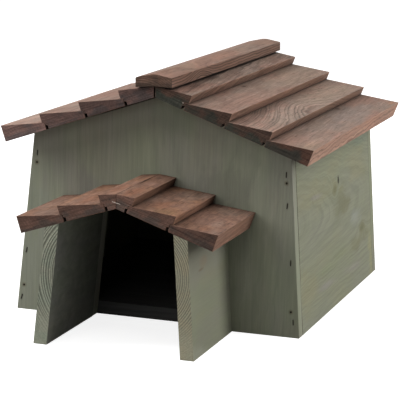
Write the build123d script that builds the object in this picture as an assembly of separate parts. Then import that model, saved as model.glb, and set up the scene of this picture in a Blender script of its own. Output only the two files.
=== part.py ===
from build123d import *
import os
from dataclasses import dataclass
from math import cos, radians, sin, tan

# Wooden hedgehog house, in millimetres: a gabled box whose side walls lean inwards,
# a porch that carries the doorway forward, and two roofs of lapped feather-edge boards.
# X runs to the right, Y from front to back, and Z up from the ground.
# The origin is on the ground, under the middle of the overall length.

# House walls
base_width = 400.0  # across the outer faces of the side walls, at the ground
house_depth = 456.0  # front of the front wall to back of the back wall
wall_thickness = 18.0
lean_degrees = 4.9  # side walls and porch walls from upright

# Floor panel, which stands on the ground between the walls
floor_thickness = 18.0
floor_clearance = 0.5  # beside each side wall, at the floor's top edge

# House roof, measured on the underside of its boards
ridge_height = 308.6
roof_pitch_degrees = 19.7
eave_span = 417.0  # between the lower edges of the two eave boards
front_overhang = 29.0
back_overhang = 36.0
roof_courses = 4
roof_top_share = 0.79  # of a full course, shown by the board at the ridge
roof_top_taper_share = 0.82  # of the other boards' taper, on the board at the ridge
roof_ridge_gap = 1.5  # between the two boards that meet at the ridge

# Feather-edge boards of both roofs
butt_thickness = 22.7  # at the lower edge of every board below the ridge
feather_thickness = 9.8  # at the upper edge
lap = 4.0  # of a board's lip over the board below it
expansion_gap = 3.0  # left open above each board's upper edge, at the underside
gap_depth = 5.5  # of that gap, up from the underside

# Ridge cap, a shallow chevron that lies along the ridge
cap_width = 50.0
cap_edge_thickness = 12.8
cap_top_degrees = 11.5
cap_under_degrees = 4.0  # flatter than the boards, so that the edges stand clear of them
cap_tilt_degrees = 2.0  # the cap lies a little lower on its left side
cap_overrun = 4.0  # past the board ends, front and back
cap_crown_radius = 30.0
cap_edge_radius = 1.5

# Porch
porch_width = 215.6  # across the outer faces of its walls, at the ground
porch_depth = 166.0  # in front of the front wall
porch_ridge_height = 184.6
porch_pitch_degrees = 18.6
porch_eave_span = 254.6
porch_courses = 3
porch_top_share = 0.31
porch_top_taper_share = 1.0
porch_ridge_gap = 0.4  # the mitre between the two strips at the ridge
porch_strip_thickness = 22.5  # of those strips, at their lower edges
door_head_drop = 5.0  # from the top inner corner of a porch wall to the head of the doorway


@dataclass
class Roof:
    """One pair of slopes, given on the underside of the boards."""

    ridge: float
    pitch: float
    eave_half: float
    front: float
    back: float
    courses: int
    top_share: float
    top_taper_share: float
    top_thickness: float
    ridge_gap: float

    @property
    def exposure(self):
        """Width of a board that shows, measured up the slope."""
        slope = self.eave_half / cos(self.pitch)
        return slope / (self.courses - 1 + self.top_share)

    @property
    def fall(self):
        """Thickness that a board loses for each millimetre up the slope."""
        return (butt_thickness - feather_thickness) / (self.exposure + lap)

    def under(self, x):
        """Height of the underside at a distance from the ridge."""
        return self.ridge - x * tan(self.pitch)

    def plane(self):
        """Right-hand slope at its front end: x up the slope, y square to it, z to the back."""
        eave = (self.eave_half, self.front, self.under(self.eave_half))
        up_slope = (-cos(self.pitch), 0, sin(self.pitch))
        return Plane(origin=eave, x_dir=up_slope, z_dir=(0, 1, 0))


# Places along Y
overall_length = porch_depth + house_depth + back_overhang + cap_overrun
porch_front = -overall_length / 2
house_front = porch_front + porch_depth
house_back = house_front + house_depth
inside_front = house_front + wall_thickness
inside_back = house_back - wall_thickness

# Places across, at the ground
lean = radians(lean_degrees)
wall_across = wall_thickness / cos(lean)
house_outer = base_width / 2
house_inner = house_outer - wall_across
porch_outer = porch_width / 2
porch_inner = porch_outer - wall_across

house_roof = Roof(
    ridge_height,
    radians(roof_pitch_degrees),
    eave_span / 2,
    house_front - front_overhang,
    house_back + back_overhang,
    roof_courses,
    roof_top_share,
    roof_top_taper_share,
    butt_thickness,
    roof_ridge_gap,
)
porch_roof = Roof(
    porch_ridge_height,
    radians(porch_pitch_degrees),
    porch_eave_span / 2,
    porch_front,
    house_front,
    porch_courses,
    porch_top_share,
    porch_top_taper_share,
    porch_strip_thickness,
    porch_ridge_gap,
)


def slab(outline, front, back):
    """Upright board or panel: an outline of (x, z) points, from its front to its back."""
    face = make_face(Polyline(*outline, close=True))
    return extrude(Plane.XZ.offset(-back) * face, amount=back - front)


def leaning_top(foot, roof):
    """Top of a leaning wall face that starts at foot on the ground and ends under a roof."""
    height = roof.under(foot) / (1 - tan(lean) * tan(roof.pitch))
    return foot - height * tan(lean), height


def mirrored(points):
    """The same points on the left of the centre line, in reverse order."""
    return [(-x, z) for x, z in reversed(points)]


def gable_outline():
    """Front and back walls: leaning sides under the two slopes of the roof."""
    right = [(house_outer, 0), leaning_top(house_outer, house_roof)]
    return [*right, (0, ridge_height), *mirrored(right)]


def doorway():
    """Opening that carries on the inner faces of the porch walls."""
    head = leaning_top(porch_inner, porch_roof)[1] - door_head_drop
    right = [(porch_inner, 0), (porch_inner - head * tan(lean), head)]
    return slab([*right, *mirrored(right)], house_front, inside_front)


def side_wall(outer, inner, roof, front, back):
    """Right-hand leaning wall, with its top edge cut to the roof's pitch."""
    outline = [(outer, 0), leaning_top(outer, roof), leaning_top(inner, roof), (inner, 0)]
    return slab(outline, front, back)


def floor_panel():
    """Square-edged panel that fills the inside of the walls."""
    half = house_inner - floor_thickness * tan(lean) - floor_clearance
    outline = [(half, 0), (half, floor_thickness), (-half, floor_thickness), (-half, 0)]
    return slab(outline, inside_front, inside_back)


def roof_board(roof, course):
    """Right-hand feather-edge board, counted up from the eave.

    Above the eave board, a rebate under the butt forms a lip that lies on the board below.
    The board at the ridge is cut upright there.
    """
    at_ridge = course == roof.courses - 1
    thickness = roof.top_thickness if at_ridge else butt_thickness
    fall = roof.fall * roof.top_taper_share if at_ridge else roof.fall
    width = roof.exposure + lap
    foot = course * roof.exposure
    head = foot + width
    outline = [(foot, thickness), (head, thickness - fall * width), (head, 0)]
    if course == 0:
        outline.append((foot, 0))
    else:
        lip = butt_thickness - roof.fall * roof.exposure
        seat = foot + lap
        outline += [(seat + expansion_gap, 0), (seat + expansion_gap, gap_depth), (seat, gap_depth)]
        outline += [(seat, feather_thickness), (foot, lip)]
    face = make_face(Polyline(*outline, close=True))
    board = extrude(roof.plane() * face, amount=roof.back - roof.front)
    if at_ridge:
        board = split(board, bisect_by=Plane.YZ.offset(roof.ridge_gap / 2), keep=Keep.TOP)
    return board


def ridge_cap():
    """Chevron board that rests along the upper edges of the two boards at the ridge."""
    seat = max(vertex.Z for vertex in roof_board(house_roof, roof_courses - 1).vertices()
               if vertex.X < roof_ridge_gap)
    half = cap_width / 2
    edge_low = -half * tan(radians(cap_under_degrees))
    edge_high = edge_low + cap_edge_thickness
    crown = edge_high + half * tan(radians(cap_top_degrees))
    right = [(half, edge_low), (half, edge_high)]
    face = make_face(Polyline((0, 0), *right, (0, crown), *mirrored(right), close=True))
    face = fillet(face.vertices().sort_by(Axis.Y)[-1], cap_crown_radius)
    corners = [v for v in face.vertices() if abs(v.X) > half - cap_edge_radius and v.Y > 0]
    face = fillet(corners, cap_edge_radius)
    front = house_roof.front - cap_overrun
    back = house_roof.back + cap_overrun
    cap = extrude(Plane.XZ.offset(-back) * face, amount=back - front)
    apex = seat + roof_ridge_gap / 2 * tan(radians(cap_under_degrees + cap_tilt_degrees))
    return Pos(0, 0, apex) * Rot(0, -cap_tilt_degrees, 0) * cap


def build():
    """Every piece of the house under its own name."""
    right_wall = side_wall(house_outer, house_inner, house_roof, inside_front, inside_back)
    porch_right_wall = side_wall(porch_outer, porch_inner, porch_roof, porch_front, house_front)
    pieces = {
        "front_wall": slab(gable_outline(), house_front, inside_front) - doorway(),
        "back_wall": slab(gable_outline(), inside_back, house_back),
        "right_wall": right_wall,
        "left_wall": mirror(right_wall, about=Plane.YZ),
        "floor": floor_panel(),
        "ridge_cap": ridge_cap(),
        "porch_right_wall": porch_right_wall,
        "porch_left_wall": mirror(porch_right_wall, about=Plane.YZ),
    }
    for name, roof in (("roof", house_roof), ("porch", porch_roof)):
        for course in range(roof.courses):
            board = roof_board(roof, course)
            pieces[f"{name}_board_right_{course + 1}"] = board
            pieces[f"{name}_board_left_{course + 1}"] = mirror(board, about=Plane.YZ)
    return pieces


os.makedirs("parts", exist_ok=True)
for name, piece in build().items():
    export_step(piece, f"parts/{name}.step")
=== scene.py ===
import math
from dataclasses import dataclass
import bpy
from mathutils import Matrix, Vector


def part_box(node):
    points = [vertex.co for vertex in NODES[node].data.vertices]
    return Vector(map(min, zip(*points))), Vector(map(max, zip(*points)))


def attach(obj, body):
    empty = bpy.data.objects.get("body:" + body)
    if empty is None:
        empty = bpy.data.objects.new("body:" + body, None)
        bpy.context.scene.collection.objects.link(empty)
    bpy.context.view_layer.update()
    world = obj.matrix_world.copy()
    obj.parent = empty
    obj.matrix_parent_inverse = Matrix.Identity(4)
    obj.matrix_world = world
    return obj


# Wooden hedgehog house: sage painted walls, brown stained roof boards and small steel fasteners.
# Places in the scene are in metres. Places on a board, and the fasteners' sizes, are in millimetres.

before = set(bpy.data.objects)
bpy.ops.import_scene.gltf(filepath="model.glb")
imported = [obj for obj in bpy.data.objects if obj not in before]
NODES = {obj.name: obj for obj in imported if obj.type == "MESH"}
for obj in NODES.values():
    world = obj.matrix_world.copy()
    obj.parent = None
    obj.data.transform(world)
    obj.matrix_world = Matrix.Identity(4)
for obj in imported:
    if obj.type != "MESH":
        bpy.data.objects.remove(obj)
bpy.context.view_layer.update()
scene = bpy.context.scene
scene.view_settings.view_transform = "Standard"

MM = 1000.0  # millimetres in a metre
RIGHT = Vector((1, 0, 0))
TO_BACK = Vector((0, 1, 0))
UP = Vector((0, 0, 1))

# Places and angles of the part
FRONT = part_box("front_wall")[0].y
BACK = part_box("back_wall")[1].y
LEAN = math.radians(4.9)  # side walls and porch walls from upright
PITCH = math.radians(19.7)
PORCH_PITCH = math.radians(18.6)

# Rounding of the arrises
WALL_ARRIS = 0.0007
BOARD_ARRIS = 0.0009
PORCH_ARRIS = 0.0012
STRIP_ARRIS = 0.0002  # on the two strips that meet in the porch's mitre
CAP_ARRIS = 0.0008
WORN_REACH = 0.0016  # from an arris, where wear shows


def srgb(red, green, blue):
    """A colour given as it shows on screen, 0 to 255, in the linear values that shaders take."""
    def linear(c):
        c /= 255
        return c / 12.92 if c <= 0.04045 else ((c + 0.055) / 1.055) ** 2.4
    return (linear(red), linear(green), linear(blue), 1.0)


class Nodes:
    """Shader nodes in a tree. Values passed to the methods are sockets or constants."""

    def __init__(self, tree):
        self.tree = tree

    def feed(self, socket, value):
        if isinstance(value, bpy.types.NodeSocket):
            self.tree.links.new(value, socket)
        else:
            socket.default_value = value

    def add(self, kind, inputs, **settings):
        node = self.tree.nodes.new(kind)
        for key, value in settings.items():
            setattr(node, key, value)
        for key, value in inputs.items():
            self.feed(node.inputs[key], value)
        return node

    def math(self, operation, *values):
        return self.add("ShaderNodeMath", dict(enumerate(values)), operation=operation).outputs[0]

    def plus(self, a, b):
        return self.math("ADD", a, b)

    def minus(self, a, b):
        return self.math("SUBTRACT", a, b)

    def times(self, a, b):
        return self.math("MULTIPLY", a, b)

    def larger(self, a, b):
        return self.math("MAXIMUM", a, b)

    def absolute(self, value):
        return self.math("ABSOLUTE", value)

    def length(self, a, b):
        return self.math("SQRT", self.plus(self.times(a, a), self.times(b, b)))

    def bell(self, value):
        """1 where the value is 0, falling away smoothly on both sides."""
        return self.math("EXPONENT", self.times(self.math("POWER", value, 2.0), -1.0))

    def step(self, value, low, high):
        """Smooth step from 0 at low to 1 at high, or down where low is the larger."""
        inputs = {"Value": value, "From Min": low, "From Max": high}
        return self.add("ShaderNodeMapRange", inputs, interpolation_type="SMOOTHSTEP").outputs[0]

    def spread(self, value, low, high):
        """Straight ramp from 0..1 to low..high."""
        return self.add("ShaderNodeMapRange", {"Value": value, "To Min": low, "To Max": high}).outputs[0]

    def swing(self, value, amount):
        """A factor about 1 from a noise about 0.5."""
        return self.math("MULTIPLY_ADD", value, amount, 1.0 - 0.5 * amount)

    def vector(self, operation, *values, output="Vector"):
        return self.add("ShaderNodeVectorMath", dict(enumerate(values)), operation=operation).outputs[output]

    def dot(self, a, b):
        return self.vector("DOT_PRODUCT", a, b, output="Value")

    def scaled(self, vector, factor):
        """A vector made longer or shorter, or a colour made lighter or darker."""
        plain = vector[:3] if isinstance(vector, tuple) else vector
        return self.add("ShaderNodeVectorMath", {0: plain, "Scale": factor}, operation="SCALE").outputs[0]

    def point(self, x, y, z):
        return self.add("ShaderNodeCombineXYZ", {0: x, 1: y, 2: z}).outputs[0]

    def noise(self, vector, detail=2.0, roughness=0.5, distortion=0.0):
        inputs = {"Vector": vector, "Scale": 1.0, "Detail": detail, "Roughness": roughness,
                  "Distortion": distortion}
        return self.add("ShaderNodeTexNoise", inputs).outputs["Fac"]

    def mix(self, share, a, b, blend="MIX"):
        inputs = {0: share, 6: a, 7: b}  # the factor and the two colours
        return self.add("ShaderNodeMix", inputs, data_type="RGBA", blend_type=blend).outputs[2]

    def crevice_shade(self, reach):
        """1 on open faces, falling to 0 deep in joints and gaps, for painting shade there."""
        return self.add("ShaderNodeAmbientOcclusion", {"Distance": reach}, samples=8).outputs["AO"]

    def seen_directly(self):
        """1 where the eye, a reflection or a clear body looks, 0 for the light that surfaces pass on."""
        path = self.add("ShaderNodeLightPath", {}).outputs
        eye_or_gloss = self.larger(path["Is Camera Ray"], path["Is Glossy Ray"])
        return self.larger(eye_or_gloss, path["Is Transmission Ray"])


class Material(Nodes):
    """A new material under construction."""

    def __init__(self, name):
        self.material = bpy.data.materials.new(name)
        self.material.use_nodes = True
        super().__init__(self.material.node_tree)
        self.tree.nodes.clear()

    def finish(self, colour, roughness, height, relief, specular=0.2, metallic=0.0):
        """Output with bump: height is 0..1, relief its depth in metres."""
        bump = self.add("ShaderNodeBump", {"Height": height, "Distance": relief, "Strength": 1.0})
        inputs = {"Base Color": colour, "Roughness": roughness, "Normal": bump.outputs[0],
                  "Metallic": metallic, "Specular IOR Level": specular}
        shader = self.add("ShaderNodeBsdfPrincipled", inputs)
        self.add("ShaderNodeOutputMaterial", {"Surface": shader.outputs[0]})
        return self.material


@dataclass
class Board:
    """Axes of a piece of timber, with the grain along. Butt is a roof board's lower edge, across."""

    middle: Vector
    along: Vector
    across: Vector
    through: Vector
    butt: float = 0.0


class Timber(Material):
    """Solid wood: growth rings about a pith line, fibres along the grain, and knots.

    The pith lies at (across, through) from the board's middle and drifts along the grain, so that
    a face shows rings as lines or arches and an end shows them as arcs. Rings are about ring apart.
    A bow (place along, reach, rise) lifts the lines across the board and lets them fall again.
    A knot is (along, across, size).
    """

    def __init__(self, name, board, seed, pith, drift=(0.0, 0.0), ring=4.0, uneven=3.0, wander=3.0,
                 bow=(0.0, 1.0, 0.0), knots=()):
        super().__init__(name)
        self.seed = seed
        self.slope = drift[0]
        self.knotty = bool(knots)
        self.find_place(board)
        ripple = self.minus(self.grain(0.032, 0.05, seed + 7.3), 0.5)
        radius = self.distance_from_pith(pith, drift, wander, bow, ripple)
        radius = self.bent_round(knots, radius, ripple)
        self.draw_rings(radius, ring, uneven)
        self.fibre = self.grain(0.012, 0.42, seed + 1.7, 3.0)
        self.hair = self.grain(0.03, 1.7, seed + 4.1, 2.0)

    def find_place(self, board):
        """Place along, across and through the board, and the share of end, side and edge there."""
        coords = self.add("ShaderNodeTexCoord", {}).outputs
        place = self.scaled(self.vector("SUBTRACT", coords["Object"], board.middle), MM)
        self.u = self.dot(place, board.along)
        self.v = self.dot(place, board.across)
        self.w = self.dot(place, board.through)
        self.end = self.step(self.absolute(self.dot(coords["Normal"], board.along)), 0.8, 0.95)
        self.side = self.step(self.absolute(self.dot(coords["Normal"], board.across)), 0.5, 0.8)
        rounded = self.add("ShaderNodeBevel", {"Radius": WORN_REACH}, samples=4).outputs[0]
        flat = self.add("ShaderNodeNewGeometry", {}).outputs["Normal"]
        self.edge = self.step(self.dot(rounded, flat), 0.998, 0.93)

    def distance_from_pith(self, pith, drift, wander, bow, ripple):
        bow_place, bow_reach, bow_rise = bow
        lift = self.times(self.bell(self.times(self.minus(self.u, bow_place), 1.0 / bow_reach)), bow_rise)
        sway = self.minus(self.grain(0.004, 0.013, self.seed), 0.5)
        waver = self.plus(self.times(sway, 3.0 * wander), self.times(ripple, 2.0 * wander))
        drift_across = self.plus(self.times(self.u, drift[0]), waver)
        drift_through = self.plus(self.times(self.u, drift[1]), self.times(ripple, 0.8 * wander))
        across = self.minus(self.minus(self.v, pith[0]), self.plus(drift_across, lift))
        through = self.minus(self.minus(self.w, pith[1]), drift_through)
        return self.length(across, through)

    def bent_round(self, knots, radius, ripple):
        """The distance from the pith, swollen so that the rings flow round each knot."""
        self.knot = 0.0
        self.knot_rim = 0.0
        for knot_u, knot_v, size in knots:
            off_u = self.times(self.minus(self.u, knot_u), 0.6)
            off_v = self.minus(self.v, knot_v)
            away = self.plus(self.length(off_u, off_v), self.times(ripple, 0.7 * size))
            swell = self.bell(self.times(away, 0.42 / size))
            radius = self.plus(radius, self.times(swell, 2.4 * size))
            core = self.step(away, 1.1 * size, 0.4 * size)
            rim = self.times(self.step(away, 2.1 * size, size), self.step(away, 0.4 * size, size))
            self.knot = self.larger(self.knot, core)
            self.knot_rim = self.larger(self.knot_rim, rim)
        return radius

    def draw_rings(self, radius, ring, uneven):
        """Rings with a dark late edge, even bands for painted ends, and streaks that follow the rings."""
        spacing = self.noise(self.point(self.times(radius, 0.13), self.seed, 0.0), 3.0, 0.6)
        phase = self.plus(self.times(radius, 1.0 / ring), self.times(spacing, uneven))
        self.band = self.math("MULTIPLY_ADD", self.math("COSINE", self.times(phase, 2 * math.pi)), -0.5, 0.5)
        turn = self.math("FRACT", phase)
        rise = self.math("POWER", self.step(turn, 0.2, 0.88), 1.8)
        late_wood = self.times(rise, self.step(turn, 1.0, 0.88))
        which = self.noise(self.point(self.math("FLOOR", phase), self.seed + 3.0, 0.0), 0.0)
        self.ring = self.times(late_wood, self.spread(which, 0.3, 1.3))
        along_rings = self.plus(self.times(self.u, 0.01), self.seed * 1.3)
        streaks = self.point(along_rings, self.times(radius, 0.38), self.seed + 0.5)
        self.flow = self.noise(streaks, 4.0, 0.62)

    def shifted(self, along, across, through, seed):
        """Place on the board for a noise, drawn out by the numbers, which are per millimetre."""
        return self.point(self.plus(self.times(self.u, along), seed * 1.7),
                          self.plus(self.times(self.v, across), seed),
                          self.plus(self.times(self.w, through), seed * 0.6))

    def grain(self, along, across, seed, detail=2.0):
        """Noise drawn out along the grain."""
        return self.noise(self.shifted(along, across, across, seed), detail)

    def cloud(self, along, across, shift, detail=3.0):
        """Broad mottling."""
        return self.noise(self.shifted(along, across, across, self.seed + shift), detail, 0.55, 0.3)

    def patches(self, cloud, low, high, share):
        """Parts of a face, up to a share, where a cloud is high."""
        return self.times(self.step(cloud, low, high), share)

    def marked(self, colour, marks, share=1.0):
        """Soft stains and worn places: (along, across, half length, half breadth, tint, strength)."""
        if not marks:
            return colour
        ragged = self.plus(self.minus(self.cloud(0.02, 0.05, 31.0), 0.5),
                           self.times(self.minus(self.flow, 0.5), 0.6))
        for at_u, at_v, reach_u, reach_v, tint, strength in marks:
            off_u = self.minus(self.u, at_u)
            off_v = self.minus(self.minus(self.v, at_v), self.times(off_u, self.slope))
            away = self.length(self.times(off_u, 1.0 / reach_u), self.times(off_v, 1.0 / reach_v))
            torn = self.times(ragged, min(2.4, 0.2 * min(reach_u, reach_v)))
            cover = self.times(self.step(self.plus(away, torn), 1.3, 0.2), strength)
            colour = self.mix(self.times(cover, share), colour, tint)
        return colour


# Colours of the stained roof
GREY = srgb(130, 111, 99)
ROSE = srgb(138, 108, 95)
TAN = srgb(152, 111, 85)
FAWN = srgb(144, 120, 102)
PALE = srgb(150, 131, 120)
BROWN = srgb(100, 77, 65)
EMBER = srgb(152, 105, 82)
CLAY = srgb(151, 112, 92)
UMBER = srgb(62, 42, 33)
BARE = srgb(176, 142, 124)  # stain rubbed off an arris

# Two tints for each kind of sawn end, the lower part's first
SAWN = (srgb(87, 82, 74), srgb(108, 79, 67))
SHADED = (srgb(83, 84, 75), srgb(105, 82, 71))
MAUVE = (srgb(93, 80, 77), srgb(102, 80, 74))
RUSSET = (srgb(92, 77, 70), srgb(102, 77, 67))
CAP_END = (srgb(95, 77, 67), srgb(102, 79, 67))


def stained_face(s, warm, figure, clear, streak, mottle, marks):
    """Stain on a board's faces."""
    colour = s.mix(s.step(s.plus(s.cloud(0.006, 0.018, 2.0), 0.25 * warm), 0.38, 0.64), GREY, ROSE)
    colour = s.mix(s.patches(s.cloud(0.011, 0.035, 5.0), 0.5, 0.74, 0.5), colour, PALE)
    colour = s.mix(s.patches(s.cloud(0.009, 0.03, 8.0), 0.52, 0.76, 0.45), colour, BROWN)
    if warm:
        sunned = s.spread(s.step(s.cloud(0.014, 0.026, 11.0), 0.4, 0.66), 0.3, 0.85)
        colour = s.mix(s.times(sunned, warm), colour, TAN)
    colour = s.marked(colour, marks)
    show = s.step(s.cloud(0.007, 0.04, 14.0, 2.0), 0.3, 0.62)
    if clear:
        show = s.larger(s.times(show, 0.4), s.step(s.u, clear + 70.0, clear - 40.0))
    colour = s.scaled(colour, s.minus(1.0 + 0.25 * figure, s.times(s.times(s.ring, show), figure)))
    colour = s.scaled(colour, s.times(s.swing(s.flow, streak), s.swing(s.cloud(0.07, 0.13, 35.0), mottle)))
    colour = s.scaled(colour, s.swing(s.fibre, 0.6))
    colour = s.scaled(colour, s.swing(s.hair, 0.65))
    fleck = s.step(s.grain(0.045, 0.6, s.seed + 9.9), 0.58, 0.72)
    colour = s.scaled(colour, s.minus(1.05, s.times(fleck, 0.5)))
    if s.knotty:
        colour = s.mix(s.times(s.knot_rim, 0.35), colour, BROWN)
        colour = s.mix(s.times(s.knot, 0.85), colour, UMBER)
    return colour


def sawn_end(s, ends, layers, end_tone, end_shade):
    """Stain on a board's ends, with saw lines."""
    speck = s.noise(s.shifted(0.5, 0.5, 0.5, s.seed + 17.0), 3.0, 0.7)
    blotch = s.noise(s.shifted(0.05, 0.05, 0.09, s.seed + 19.0), 2.0, 0.5)
    kerf = s.noise(s.shifted(0.03, 0.03, 0.9, s.seed + 21.0), 2.0, 0.6)
    colour = s.mix(s.step(s.plus(blotch, s.times(s.w, 0.018)), 0.38, 0.62), *ends)
    colour = s.scaled(colour, s.times(s.swing(speck, 1.0), s.swing(kerf, 2.1)))
    colour = s.scaled(colour, s.swing(blotch, 1.1))
    colour = s.scaled(colour, s.minus(1.0 + 0.2 * layers, s.times(s.ring, 0.5 * layers)))
    low, high, dark = end_shade
    return s.scaled(colour, s.times(s.spread(s.step(s.w, low, high), dark, 1.0), end_tone))


def stained(name, board, tone=1.0, warm=0.0, figure=0.2, clear=0.0, streak=1.4, mottle=0.3, butt=0.85,
            layers=0.35, ends=SAWN, end_tone=1.0, end_shade=(-1.0, 1.0, 1.0), worn=0.3, marks=(), **timber):
    """Brown stained roof timber: streaked grain and mottling, darker sawn ends, arrises worn pale.

    Tone scales the faces, butt the long edges as well, and end_tone the ends. Warm adds tan. Figure
    and layers deepen the rings, streak and mottle the stain's unevenness. The rings show fully in front
    of a place clear along the board. End_shade (low, high, dark) darkens the lower part of the ends.
    """
    s = Timber(name, board, **timber)
    colour = s.scaled(stained_face(s, warm, figure, clear, streak, mottle, marks), tone)
    layered = s.times(s.swing(s.flow, 0.8), s.minus(1.0 + 0.2 * layers, s.times(s.ring, layers)))
    side = s.mix(0.6, colour, s.scaled(CLAY, 0.92 * tone))
    colour = s.mix(s.side, colour, s.scaled(side, s.times(layered, butt)))
    # Painted shade: the upper long faces, hidden in the laps and gaps between boards, darkened nearly to
    # black.
    dark_joint_and_shade = s.times(s.side, s.step(s.v, board.butt + 1.5, board.butt + 3.0))
    colour = s.scaled(colour, s.spread(dark_joint_and_shade, 1.0, 0.12))
    colour = s.mix(s.end, colour, sawn_end(s, ends, layers, end_tone, end_shade))
    open_arris = s.minus(1.0, s.larger(s.end, dark_joint_and_shade))
    rubbed = s.times(s.times(s.edge, s.step(s.fibre, 0.35, 0.65)), open_arris)
    colour = s.mix(s.times(rubbed, worn), colour, s.scaled(BARE, 0.8 * tone + 0.1))
    # Painted shade: darker in the laps, gaps and under the ridge cap, where shade falls.
    colour = s.scaled(colour, s.spread(s.step(s.crevice_shade(0.024), 0.12, 0.86), 0.1, 1.0))
    height = s.plus(s.plus(s.times(s.ring, 0.6 * figure), s.times(s.fibre, 0.3)), s.times(s.flow, 0.4))
    return s.finish(colour, s.spread(s.fibre, 0.6, 0.85), height, 0.0006, 0.1)


# Colours of the painted walls
GREEN = srgb(127, 130, 109)
STONE = srgb(126, 125, 111)
SAND = srgb(137, 131, 103)
OLIVE = srgb(111, 108, 80)
MOSS = srgb(98, 95, 68)
MILK = srgb(148, 148, 133)
HEATHER = srgb(136, 132, 125)
CHALK = srgb(160, 159, 137)  # paint rubbed thin on an arris
CUT = (srgb(141, 143, 126), srgb(148, 146, 129))
# Round fasteners: painted shadow of a staple's recess, and a nail's rust with painted shade of its dent
RECESS_SHADOW = srgb(44, 42, 34)
RUST_AND_DENT_SHADE = srgb(92, 84, 62)
# Painted shade: the cool tint that the porch walls' inner faces take in their shade.
SHADOW_TINT = (0.98, 1.0, 1.13, 1.0)  # tint of the porch walls' inner faces


def painted_face(s, bases, streak, figure, yellow, lilac, marks, outer):
    """Paint on a wall's faces, with the marks on its outer face."""
    colour = s.mix(s.step(s.cloud(0.005, 0.014, 2.0), 0.36, 0.64), *bases)
    colour = s.mix(s.patches(s.cloud(0.007, 0.016, 5.0, 4.0), 0.48, 0.74, yellow), colour, SAND)
    colour = s.mix(s.patches(s.cloud(0.006, 0.024, 8.0, 4.0), 0.52, 0.76, lilac), colour, HEATHER)
    colour = s.marked(colour, marks, outer)
    colour = s.scaled(colour, s.minus(1.0 + 0.3 * figure, s.times(s.ring, figure)))
    colour = s.scaled(colour, s.swing(s.flow, streak))
    colour = s.scaled(colour, s.swing(s.fibre, streak))
    colour = s.scaled(colour, s.swing(s.hair, 0.6 * streak))
    if s.knotty:
        colour = s.mix(s.times(s.knot_rim, 0.15), colour, OLIVE)
        colour = s.mix(s.times(s.knot, 0.3), colour, MOSS)
    return colour


def painted_end(s, cuts, end_grain, end_tone):
    """Paint on an end, with the rings clear in its upper part."""
    line = s.times(s.math("POWER", s.band, 1.5), s.step(s.v, -75.0, -15.0))
    colour = s.mix(s.step(s.noise(s.shifted(0.05, 0.05, 0.05, s.seed + 23.0), 3.0), 0.42, 0.62), *cuts)
    colour = s.scaled(colour, s.minus(1.0 + 0.4 * end_grain, s.times(line, end_grain)))
    speck = s.noise(s.shifted(0.5, 0.5, 0.5, s.seed + 29.0), 3.0, 0.7)
    return s.scaled(s.scaled(colour, s.swing(speck, 0.9)), end_tone)


def with_seams(s, colour, seams, outer):
    """Dark joints at both ends of a side wall, at a distance from its middle, open in places."""
    open_joint = s.plus(s.step(s.v, -10.0, 40.0), s.step(s.cloud(0.01, 0.012, 27.0), 0.35, 0.65))
    near_end = s.step(s.absolute(s.u), seams - 1.9, seams - 0.9)
    dark_joint_and_shade = s.times(near_end, s.math("MINIMUM", open_joint, 1.0))
    return s.scaled(colour, s.minus(1.0, s.times(s.times(dark_joint_and_shade, outer), 0.85)))


def with_inner_shade(s, colour, inside):
    """Inner face of a porch wall with painted shade: a cool tint, blotches, and darkening by inside towards
    the doorway.
    """
    within = s.times(s.step(s.w, -4.0, -7.0), s.minus(1.0, s.end))
    painted_inner_shade = s.times(within, s.step(s.u, -75.0, 80.0))
    blotch = s.times(within, s.minus(s.cloud(0.05, 0.08, 37.0), 0.5))
    colour = s.scaled(colour, s.times(s.spread(painted_inner_shade, 1.0, inside), s.spread(within, 1.0, 1.25)))
    colour = s.scaled(colour, s.plus(1.0, s.times(blotch, 0.7)))
    return s.mix(within, colour, SHADOW_TINT, "MULTIPLY")


def with_eaves_shadow(s, colour, top):
    """Painted shadow of the gap under the roof: a dark line on a gable that rises to top, darkest just left
    of the ridge.
    """
    below = s.minus(s.minus(top, s.times(s.absolute(s.v), math.tan(PITCH))), s.u)
    shade = s.times(s.step(below, 2.8, 1.2), s.spread(s.step(s.v, 6.0, -4.0), 0.4, 0.95))
    return s.scaled(colour, s.minus(1.0, s.times(shade, s.step(s.v, -120.0, -60.0))))


def with_reveal(s, colour, reveal):
    """Upper part of the doorway's jambs, lighter by reveal."""
    jamb = s.times(s.side, s.step(s.absolute(s.v), 120.0, 110.0))
    return s.scaled(colour, s.spread(s.times(jamb, s.step(s.u, -160.0, -40.0)), 1.0, reveal))


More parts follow.
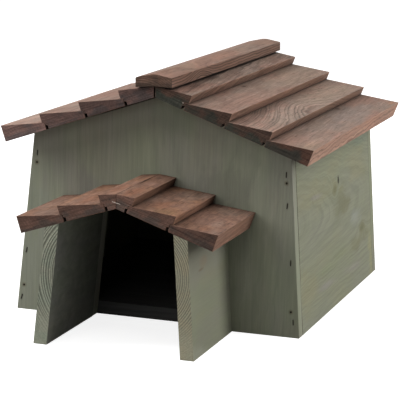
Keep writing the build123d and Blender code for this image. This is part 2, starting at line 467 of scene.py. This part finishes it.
def painted(name, board, tone=1.0, bases=(STONE, GREEN), streak=0.2, figure=0.05, yellow=0.3, lilac=0.25,
            end_grain=0.5, cuts=CUT, end_tone=1.0, inside=1.0, seams=0.0, eaves_shadow=0.0, reveal=0.0, marks=(),
            **timber):
    """Thin sage wood paint: grain and knots show faintly through, ends show rings clearly.

    Tone scales everything and end_tone the ends as well. Bases are the two main tints, cuts those of
    the ends. Yellow and lilac are shares of tinted patches. Figure and end_grain deepen the rings.
    """
    s = Timber(name, board, **timber)
    outer = s.step(s.w, 4.0, 7.0)
    colour = painted_face(s, bases, streak, figure, yellow, lilac, marks, outer)
    colour = s.mix(s.end, colour, painted_end(s, cuts, end_grain, end_tone))
    if seams:
        colour = with_seams(s, colour, seams, outer)
    if inside < 1.0:
        colour = with_inner_shade(s, colour, inside)
    if eaves_shadow:
        colour = with_eaves_shadow(s, colour, eaves_shadow)
    if reveal:
        colour = with_reveal(s, colour, reveal)
    rubbed = s.times(s.edge, s.step(s.fibre, 0.4, 0.65))
    colour = s.mix(s.times(rubbed, 0.3), colour, CHALK)
    # Painted shade: darker in joints and corners, where shade falls; tone scales everything.
    colour = s.scaled(colour, s.times(s.spread(s.step(s.crevice_shade(0.012), 0.05, 0.45), 0.4, 1.0), tone))
    height = s.plus(s.times(s.ring, s.spread(s.end, 0.15, 0.7)), s.times(s.flow, 0.3))
    return s.finish(colour, s.spread(s.fibre, 0.7, 0.9), height, 0.0004, 0.06)


def middle_of(node):
    low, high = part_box(node)
    return (low + high) / 2


def side_of(node):
    return -1 if "left" in node else 1


def slope_board(node, pitch):
    """A roof board: grain to the back, across up its slope."""
    side = side_of(node)
    across = Vector((-side * math.cos(pitch), 0, math.sin(pitch)))
    through = Vector((side * math.sin(pitch), 0, math.cos(pitch)))
    middle = middle_of(node)
    butt = MM * min((vertex.co - middle).dot(across) for vertex in NODES[node].data.vertices)
    return Board(middle, TO_BACK, across, through, butt)


def side_panel(node):
    """A leaning wall: grain to the back, across up the wall."""
    side = side_of(node)
    across = Vector((-side * math.sin(LEAN), 0, math.cos(LEAN)))
    through = Vector((side * math.cos(LEAN), 0, math.sin(LEAN)))
    return Board(middle_of(node), TO_BACK, across, through)


def gable_panel(node, outwards):
    """An end wall: grain upright."""
    return Board(middle_of(node), UP, RIGHT, outwards)


def dress(name, material, arris):
    """A node's material, and rounded arrises over its own mesh."""
    node = NODES[name]
    node.data.materials.clear()
    node.data.materials.append(material)
    weld = node.modifiers.new("Weld", "WELD")
    weld.merge_threshold = 0.00001
    bevel = node.modifiers.new("Arris", "BEVEL")
    bevel.width = arris
    bevel.segments = 3
    bevel.limit_method = "ANGLE"
    bevel.angle_limit = math.radians(25)
    bevel.harden_normals = True


# Main roof: board 1 is at the eave, board 4 at the ridge. The ends' tones, darker on the right slope than on
# the left, are partly painted light and shade.
ROOF = {
    "roof_board_right_1": dict(
        seed=1.3, pith=(-90, -30), drift=(0.03, 0.0), ring=4.2, figure=0.16, streak=1.25, mottle=0.45,
        tone=0.77, butt=1.45, layers=0.5, end_tone=0.46, worn=0.5, knots=((85, 24, 4.5),),
        marks=((0, -17, 270, 13, srgb(135, 116, 104), 0.7), (-225, -18, 50, 12, FAWN, 0.6),
               (-60, -4, 150, 26, srgb(132, 115, 104), 0.5), (60, -2, 150, 24, srgb(130, 116, 108), 0.6),
               (245, -22, 34, 8, TAN, 0.6))),
    "roof_board_right_2": dict(
        seed=5.1, pith=(-67, -18), ring=3.7, wander=1.7, bow=(-20, 115, 34), figure=0.64, clear=-20.0,
        tone=0.78, butt=0.96, ends=SHADED, end_tone=0.415,
        marks=((-150, -10, 130, 18, srgb(138, 122, 110), 0.7), (-150, 22, 110, 9, BROWN, 0.55),
               (-20, -4, 110, 26, srgb(138, 121, 109), 0.7), (130, 0, 130, 26, srgb(134, 117, 102), 0.7))),
    "roof_board_right_3": dict(
        seed=9.4, pith=(-90, -30), drift=(0.03, 0.0), ring=4.4, figure=0.16, streak=1.1, mottle=0.5,
        tone=0.79, butt=1.06, ends=SHADED, end_tone=0.37, knots=((-36, 20.0, 3.8),),
        marks=((-34, 20.5, 16, 2.6, UMBER, 0.6), (-170, -14, 130, 20, ROSE, 0.7),
               (140, 0, 150, 34, srgb(136, 117, 102), 0.7))),
    "roof_board_right_4": dict(
        seed=13.7, pith=(-80, -30), drift=(0.09, 0.0), ring=4.2, figure=0.4, streak=2.3, mottle=0.8,
        tone=0.69, butt=1.0, ends=SHADED, end_tone=0.5,
        # The first two marks are a painted shadow of the ridge cap along the board's upper edge.
        marks=((-40, 9, 260, 6.5, UMBER, 0.85), (-190, 7, 80, 12, UMBER, 0.75),
               (110, -4, 120, 9, PALE, 0.5), (68, -22, 26, 4, UMBER, 0.55), (-225, 6, 30, 8, ROSE, 0.6),
               (-103, 8, 13, 10, UMBER, 0.55), (150, 0, 70, 12, FAWN, 0.35))),
    "roof_board_left_1": dict(
        seed=17.9, pith=(-90, -30), drift=(0.03, 0.0), ring=4.2, figure=0.16, tone=0.9, butt=1.1,
        ends=MAUVE, end_tone=1.14, marks=((0, 0, 300, 34, PALE, 0.7),)),
    "roof_board_left_2": dict(
        seed=23.2, pith=(-40, -30), drift=(0.02, 0.05), ring=4.2, figure=0.3, tone=0.72, ends=MAUVE,
        end_tone=0.72, knots=((70, 10, 5),)),
    "roof_board_left_3": dict(
        seed=29.8, pith=(80, -40), drift=(-0.04, 0.0), ring=4.4, figure=0.16, tone=0.7, ends=MAUVE,
        end_tone=0.62),
    "roof_board_left_4": dict(
        seed=31.1, pith=(-80, -40), drift=(0.05, 0.0), ring=4.2, figure=0.16, tone=0.72, ends=MAUVE,
        end_tone=0.72),
}
for name, looks in ROOF.items():
    dress(name, stained(name, slope_board(name, PITCH), **looks), BOARD_ARRIS)

# Porch roof: board 1 is at the eave, and board 3 is the mitred strip at the ridge
MITRE = (30, 14.2, 46, 1.3, UMBER, 0.9)
PORCH = {
    "porch_board_right_1": dict(
        seed=37.3, drift=(0.03, 0.03), ring=4.6, warm=0.5, streak=0.7, mottle=1.4, tone=0.55, butt=1.14,
        end_tone=0.62,
        marks=((-66, -6, 15, 7, EMBER, 0.5), (-28, -11, 24, 7, srgb(164, 136, 121), 0.6),
               (50, 0, 34, 24, GREY, 0.6))),
    "porch_board_right_2": dict(
        seed=41.6, drift=(0.02, 0.03), ring=4.6, warm=0.9, streak=0.7, mottle=1.4, tone=0.515, butt=1.6,
        end_tone=0.8,
        marks=((-70, -12, 18, 18, srgb(156, 122, 92), 0.6), (-42, 2, 24, 12, EMBER, 0.5),
               (46, -8, 34, 22, GREY, 0.6))),
    "porch_board_right_3": dict(
        seed=43.9, drift=(0.02, 0.02), ring=4.4, warm=1.0, streak=0.7, mottle=1.2, tone=0.505, butt=1.2,
        end_tone=0.87,
        marks=((-46, 4, 34, 9, EMBER, 0.7), (16, 0, 16, 9, srgb(144, 114, 104), 0.5), MITRE)),
    "porch_board_left_1": dict(
        seed=47.2, drift=(0.02, 0.04), ring=4.4, warm=0.7, streak=1.5, mottle=1.5, tone=0.505,
        end_tone=0.7),
    "porch_board_left_2": dict(
        seed=53.5, drift=(0.01, 0.04), ring=4.4, warm=1.0, streak=1.5, mottle=1.5, tone=0.545,
        end_tone=0.75, marks=((-20, 4, 60, 18, EMBER, 0.5),)),
    "porch_board_left_3": dict(
        seed=59.1, drift=(0.02, 0.02), ring=4.4, warm=1.0, streak=1.5, mottle=1.5, tone=0.53,
        end_tone=0.8, marks=((-30, 4, 40, 9, EMBER, 0.6), MITRE)),
}
for name, looks in PORCH.items():
    wood = stained(name, slope_board(name, PORCH_PITCH), pith=(-90, -40), figure=0.1, ends=RUSSET, **looks)
    dress(name, wood, STRIP_ARRIS if name.endswith("3") else PORCH_ARRIS)

NO_BUTT = 100.0  # past the cap's edges, which stand clear of the boards
cap_board = Board(middle_of("ridge_cap"), TO_BACK, RIGHT, UP, NO_BUTT)
cap_wood = stained(
    "ridge_cap", cap_board, seed=61.7, pith=(-14, -46), drift=(0.006, 0.004), ring=2.6, uneven=1.5,
    wander=1.3, bow=(-140, 42, 14), figure=0.2, warm=0.25, tone=0.65, butt=0.62, layers=1.2,
    ends=CAP_END, end_tone=0.79, end_shade=(-9.0, 0.0, 0.45))
dress("ridge_cap", cap_wood, CAP_ARRIS)

# Fasteners on the end walls: x and z in millimetres, and a staple's turn from upright in radians
FRONT_STAPLES = ((-173.9, 218, 0.06), (-187.3, 83, 0.24), (-193.4, 17, 0.36), (173.6, 216, 0.0),
                 (176.5, 175, 0.12), (184.2, 100, 0.0), (190.8, 21, -0.1))
FRONT_NAILS = ((-174.3, 205), (-190.4, 34), (174.4, 205), (187.1, 34.5))
BACK_STAPLES = ((-174.0, 212, -0.08), (-184.5, 110, 0.1), (-192.5, 22, 0.0), (174.2, 214, 0.14),
                (184.8, 104, -0.06), (192.0, 20, 0.1))
BACK_NAILS = ((-176.0, 190), (-190.0, 46), (176.4, 188), (189.4, 44))


def fastener_marks(node, staples, nails):
    """Painted shadow of the recess round each staple, and rust with painted shade of the dent round each
    nail, in a gable panel's own coordinates.
    """
    base = MM * middle_of(node).z
    recess_shadows = tuple((z - base, x, 5.2, 1.5, RECESS_SHADOW, 0.6) for x, z, turn in staples)
    return recess_shadows + tuple((z - base, x, 4.0, 3.6, RUST_AND_DENT_SHADE, 0.7) for x, z in nails)


# Walls and floor
# The second mark is painted shade on the wall above the porch roof's right slope.
FRONT_MARKS = (
    (-90, -186, 120, 44, srgb(128, 130, 120), 0.6), (34, 84, 28, 40, srgb(104, 103, 95), 0.5),
    (27, -98, 20, 16, srgb(113, 109, 106), 0.5), (-75, 118, 60, 15, MILK, 0.45),
    (130, 0, 40, 34, srgb(116, 122, 105), 0.4), (-10, 168, 150, 34, srgb(121, 130, 109), 0.2),
    (70, -60, 80, 120, srgb(122, 130, 109), 0.18))
RIGHT_MARKS = (
    (-100, 46, 100, 24, SAND, 0.3), (-20, 64, 40, 12, SAND, 0.25), (130, 52, 66, 30, SAND, 0.35),
    (-160, -78, 56, 32, SAND, 0.4), (200, -90, 16, 50, srgb(144, 141, 108), 0.6),
    (36, 12, 46, 26, OLIVE, 0.42), (50, 6, 26, 14, MOSS, 0.2), (-7, 33, 17, 7, MOSS, 0.4),
    (108, -66, 36, 13, OLIVE, 0.4), (150, -46, 18, 10, MOSS, 0.4), (166, -58, 30, 10, OLIVE, 0.25),
    (112, -22, 34, 15, srgb(141, 144, 137), 0.55), (-70, -88, 60, 6, HEATHER, 0.7),
    (-110, 42, 34, 4, HEATHER, 0.6), (90, -94, 60, 7, HEATHER, 0.5),
    (150, 84, 60, 8, srgb(114, 124, 110), 0.5), (-70, -66, 60, 7, srgb(122, 127, 101), 0.5),
    # The last mark is the painted shadow of the side staple's recess.
    (10, -60, 50, 8, srgb(124, 128, 101), 0.5), (17, 46, 4.6, 6.6, RECESS_SHADOW, 1.0))
LEFT_MARKS = (
    (-60, 30, 16, 9, OLIVE, 0.55), (90, -40, 18, 10, OLIVE, 0.6), (-130, -70, 46, 7, HEATHER, 0.6),
    (150, 40, 50, 14, SAND, 0.4), (-190, 0, 14, 60, SAND, 0.4))
PORCH_RIGHT_MARKS = (
    (-36, 27, 12, 2, srgb(106, 92, 76), 0.6), (-22, 38, 18, 9, srgb(134, 116, 94), 0.4),
    (-72, -78, 40, 12, MILK, 0.6))
GABLE_TOP = MM * (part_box("front_wall")[1].z - middle_of("front_wall").z)
SIDE_END = 210.0  # of a side wall, from its middle

WALLS = {
    "front_wall": (gable_panel("front_wall", -TO_BACK), dict(
        seed=2.2, pith=(60, -260), drift=(0.01, 0.02), ring=5.0, wander=4.0, tone=1.11,
        bases=(srgb(126, 125, 114), srgb(127, 130, 112)), streak=0.34, figure=0.06, yellow=0.15,
        lilac=0.12, eaves_shadow=GABLE_TOP, reveal=1.15,
        marks=FRONT_MARKS + fastener_marks("front_wall", FRONT_STAPLES, FRONT_NAILS))),
    "back_wall": (gable_panel("back_wall", TO_BACK), dict(
        seed=6.6, pith=(-40, -240), drift=(0.015, 0.02), ring=5.0, wander=4.0, tone=1.04, streak=0.34,
        figure=0.06, yellow=0.15, eaves_shadow=GABLE_TOP,
        marks=fastener_marks("back_wall", BACK_STAPLES, BACK_NAILS))),
    "right_wall": (side_panel("right_wall"), dict(
        seed=11.4, pith=(10, -60), drift=(-0.05, -0.08), ring=5.5, wander=5.0, streak=0.34, figure=0.12,
        yellow=0.2, lilac=0.12, tone=0.97, seams=SIDE_END,
        bases=(srgb(128, 129, 113), srgb(128, 130, 110)), knots=((-7, 36, 5), (148, -48, 6)),
        marks=RIGHT_MARKS)),
    "left_wall": (side_panel("left_wall"), dict(
        seed=19.4, pith=(30, -60), drift=(0.02, 0.05), ring=5.5, wander=7.0, streak=0.22, figure=0.07,
        yellow=0.5, tone=0.96, seams=SIDE_END, knots=((-60, 30, 6), (90, -40, 8)), marks=LEFT_MARKS)),
    "porch_right_wall": (side_panel("porch_right_wall"), dict(
        seed=25.4, pith=(28, -60), drift=(0.01, 0.01), ring=2.8, uneven=1.6, wander=0.9, streak=0.12,
        figure=0.01, yellow=0.3, end_grain=0.78, cuts=(srgb(146, 143, 123), srgb(150, 144, 122)),
        tone=0.88, end_tone=1.02, inside=0.55, marks=PORCH_RIGHT_MARKS)),
    "porch_left_wall": (side_panel("porch_left_wall"), dict(
        seed=33.4, pith=(22, -78), drift=(0.01, 0.01), ring=3.3, uneven=1.9, wander=0.9, streak=0.12,
        figure=0.01, end_grain=0.75, cuts=(srgb(138, 143, 127), srgb(145, 146, 130)), tone=0.86,
        end_tone=1.01, inside=0.56)),
    # The floor is neutral grey; its low tone is partly painted shade of the dark inside.
    "floor": (Board(middle_of("floor"), RIGHT, TO_BACK, UP), dict(
        seed=39.4, bases=(srgb(126, 125, 123), srgb(118, 118, 117)), pith=(20, -160), drift=(0.02, 0.05),
        ring=5.0, streak=0.6, figure=0.2, tone=0.3, yellow=0.0, lilac=0.1)),
}
for name, (board, looks) in WALLS.items():
    dress(name, painted(name, board, **looks), WALL_ARRIS)


# Staples and nails
def steel(name, dark, light, roughness, metallic):
    """Steel gone dull, mottled between two tints."""
    s = Material(name)
    place = s.add("ShaderNodeTexCoord", {}).outputs["Object"]
    fine = s.noise(s.scaled(place, 900.0), 3.0, 0.6)
    colour = s.mix(s.step(fine, 0.4, 0.65), dark, light)
    return s.finish(colour, s.spread(fine, roughness - 0.1, roughness + 0.15), fine, 0.0001, 0.15, metallic)


BLACKENED = steel("blackened_steel", srgb(26, 24, 21), srgb(46, 40, 33), 0.65, 0.1)
ZINC = steel("zinc_steel", srgb(160, 148, 138), srgb(198, 184, 172), 0.5, 0.3)

# Crowns of the staples, breadth and thickness of their wires, and radii of the nail heads
GABLE_CROWN, GABLE_WIRE = 8.0, (1.3, 0.8)
SIDE_CROWN, SIDE_WIRE = 9.6, (1.7, 0.8)
MITRE_CROWN, MITRE_WIRE = 12.0, (0.6, 0.5)
NAIL_RADIUS = 1.5
PIN_RADIUS = 0.75


def mesh_piece(name, verts, faces, material):
    mesh = bpy.data.meshes.new(name)
    mesh.from_pydata([tuple(v) for v in verts], [], faces)
    mesh.update()
    for polygon in mesh.polygons:
        polygon.use_smooth = True
    piece = bpy.data.objects.new(name, mesh)
    scene.collection.objects.link(piece)
    piece.data.materials.append(material)
    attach(piece, "root")


def neighbours(first, rows, around):
    """Pairs of neighbouring vertices in every row but the last, where each row is a closed loop."""
    for i in range(rows - 1):
        for k in range(around):
            yield first + i * around + k, first + i * around + (k + 1) % around


def staple(verts, faces, place, run, out, crown, wire, proud=0.35, leg=4.0, turn=0.9):
    """A flat wire bent into a bridge: crown along run, legs sunk in the timber, corners of radius turn."""
    half = crown / 2
    path = [(-half, -leg)]
    for t in (0.0, 0.52, 1.05, 1.57):
        path.append((-half + turn - turn * math.cos(t), proud - turn + turn * math.sin(t)))
    path += [(-x, y) for x, y in reversed(path)]
    side = out.cross(run)
    width, thick = wire[0] / 2, wire[1] / 2
    bite = 0.45 * thick
    right_half = ((width - bite, thick), (width, thick - bite), (width, bite - thick), (width - bite, -thick))
    section = right_half + tuple((-x, y) for x, y in reversed(right_half))
    first = len(verts)
    for i, (along, away) in enumerate(path):
        before, after = path[max(i - 1, 0)], path[min(i + 1, len(path) - 1)]
        tangent = Vector((after[0] - before[0], after[1] - before[1])).normalized()
        lean_out = Vector((-tangent.y, tangent.x))
        for across, deep in section:
            at_run = along + lean_out.x * (deep - thick)
            at_out = away + lean_out.y * (deep - thick)
            verts.append(place + (run * at_run + out * at_out + side * across) / MM)
    around = len(section)
    faces.extend((a, b, b + around, a + around) for a, b in neighbours(first, len(path), around))
    faces.append(tuple(first + k for k in reversed(range(around))))
    faces.append(tuple(first + (len(path) - 1) * around + k for k in range(around)))


def nail(verts, faces, place, out, radius, sides=20):
    """A nail with a low domed head, its shank sunk in the timber."""
    crest = 0.38
    profile = ((0.45 * radius, 0.34), (0.8 * radius, 0.24), (radius, 0.05), (radius, -0.35),
               (0.45 * radius, -0.6), (0.42 * radius, -6.0))
    one = out.orthogonal().normalized()
    two = out.cross(one)
    first = len(verts)
    verts.append(place + out * (crest / MM))
    for reach, rise in profile:
        for k in range(sides):
            angle = 2 * math.pi * k / sides
            around = one * math.cos(angle) * reach + two * math.sin(angle) * reach
            verts.append(place + (around + out * rise) / MM)
    for k in range(sides):
        faces.append((first, first + 1 + k, first + 1 + (k + 1) % sides))
    rings = neighbours(first + 1, len(profile), sides)
    faces.extend((a, a + sides, b + sides, b) for a, b in rings)
    last = first + 1 + (len(profile) - 1) * sides
    faces.append(tuple(last + k for k in reversed(range(sides))))


for wall, y, outwards, staples, nails in (("front", FRONT, -TO_BACK, FRONT_STAPLES, FRONT_NAILS),
                                          ("back", BACK, TO_BACK, BACK_STAPLES, BACK_NAILS)):
    verts, faces = [], []
    for x, z, turn in staples:
        run = RIGHT * math.sin(turn) + UP * math.cos(turn)
        staple(verts, faces, Vector((x / MM, y, z / MM)), run, outwards, GABLE_CROWN, GABLE_WIRE)
    mesh_piece(wall + "_staples", verts, faces, BLACKENED)
    verts, faces = [], []
    for x, z in nails:
        nail(verts, faces, Vector((x / MM, y, z / MM)), outwards, NAIL_RADIUS)
    mesh_piece(wall + "_nails", verts, faces, BLACKENED)

# One staple in each side wall, at a place along and across it in metres
HALF_WALL = 0.009
for wall, at_u, at_v in (("right", 0.015, 0.046), ("left", -0.06, 0.052)):
    panel = side_panel(wall + "_wall")
    place = panel.middle + panel.along * at_u + panel.across * at_v + panel.through * HALF_WALL
    verts, faces = [], []
    staple(verts, faces, place, panel.across, panel.through, SIDE_CROWN, SIDE_WIRE)
    mesh_piece(wall + "_staple", verts, faces, BLACKENED)

# A staple across the porch's mitre, and a pin in the end of a roof board
MITRE_TURN = 0.22
mitre_place = Vector((0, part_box("porch_board_left_3")[0].y, 0.192))
mitre_run = RIGHT * math.cos(MITRE_TURN) - UP * math.sin(MITRE_TURN)
verts, faces = [], []
staple(verts, faces, mitre_place, mitre_run, -TO_BACK, MITRE_CROWN, MITRE_WIRE, proud=0.2)
mesh_piece("mitre_staple", verts, faces, ZINC)
pin_place = Vector((0.0393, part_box("roof_board_right_4")[0].y, 0.304))
verts, faces = [], []
nail(verts, faces, pin_place, -TO_BACK, PIN_RADIUS)
mesh_piece("board_nail", verts, faces, ZINC)


# Ground, light and camera
def pale_ground():
    """Pale matt floor that takes the shadow, and turns white away from the house."""
    s = Material("pale_ground")
    seen = s.seen_directly()
    grey = s.mix(seen, (0.3, 0.3, 0.3, 1.0), (0.5, 0.5, 0.5, 1.0))
    diffuse = s.add("ShaderNodeBsdfDiffuse", {"Color": grey})
    place = s.add("ShaderNodeTexCoord", {}).outputs["Object"]
    far = s.step(s.vector("LENGTH", place, output="Value"), 0.4, 1.6)
    glow = s.times(seen, s.spread(far, 0.84, 1.0))
    white = s.add("ShaderNodeEmission", {"Color": (1, 1, 1, 1), "Strength": glow})
    both = s.add("ShaderNodeAddShader", {0: diffuse.outputs[0], 1: white.outputs[0]})
    s.add("ShaderNodeOutputMaterial", {"Surface": both.outputs[0]})
    return s.material


GROUND_HALF = 12.0
corners = [(x * GROUND_HALF, y * GROUND_HALF, 0.0) for x, y in ((-1, -1), (1, -1), (1, 1), (-1, 1))]
ground_mesh = bpy.data.meshes.new("ground")
ground_mesh.from_pydata(corners, [], [(0, 1, 2, 3)])
ground_mesh.materials.append(pale_ground())
ground = bpy.data.objects.new("ground", ground_mesh)
scene.collection.objects.link(ground)

SKY_LIGHT = 0.06
world = bpy.data.worlds.new("studio")
world.use_nodes = True
scene.world = world
sky = Nodes(world.node_tree)
backdrop = world.node_tree.nodes["Background"]
sky.feed(backdrop.inputs["Color"], (1.0, 1.0, 1.0, 1.0))
sky.feed(backdrop.inputs["Strength"], sky.spread(sky.seen_directly(), SKY_LIGHT, 1.0))

AIM = Vector((0, -0.05, 0.15))
REACH = 3.0


def softbox(name, azimuth, elevation, size, watts):
    """A square lamp round the object: azimuth 0 is in front, 90 at the right."""
    azimuth, elevation = math.radians(azimuth), math.radians(elevation)
    level = RIGHT * math.sin(azimuth) - TO_BACK * math.cos(azimuth)
    towards = level * math.cos(elevation) + UP * math.sin(elevation)
    lamp = bpy.data.lights.new(name, "AREA")
    lamp.shape = "SQUARE"
    lamp.size = size
    lamp.energy = watts
    holder = bpy.data.objects.new(name, lamp)
    holder.location = AIM + REACH * towards
    holder.rotation_euler = (-towards).to_track_quat("-Z", "Y").to_euler()
    holder.visible_camera = False
    scene.collection.objects.link(holder)


softbox("left", -80, 35, 2.2, 150)
softbox("right_low", 106, 14, 1.2, 44)
softbox("right_high", 95, 40, 1.6, 35)
softbox("top", 10, 65, 1.8, 30)
softbox("front", -8, 20, 1.6, 13)

# The photograph's view: the camera's own axes and place
VIEW_RIGHT = Vector((0.95250346, 0.30287641, 0.03167068))
VIEW_UP = Vector((-0.08512501, 0.16495709, 0.98262042))
VIEW_AHEAD = Vector((-0.29238825, 0.93864532, -0.18290456))
EYE = Vector((0.810809, FRONT - 2.418301, 0.644185))
camera = bpy.data.objects.new("camera", bpy.data.cameras.new("camera"))
scene.collection.objects.link(camera)
camera.data.sensor_width = 36.0
camera.data.lens = 176.04
camera.data.clip_end = 60.0
pose = Matrix((VIEW_RIGHT, VIEW_UP, -VIEW_AHEAD)).transposed().to_4x4()
pose.translation = EYE
camera.matrix_world = pose
scene.camera = camera
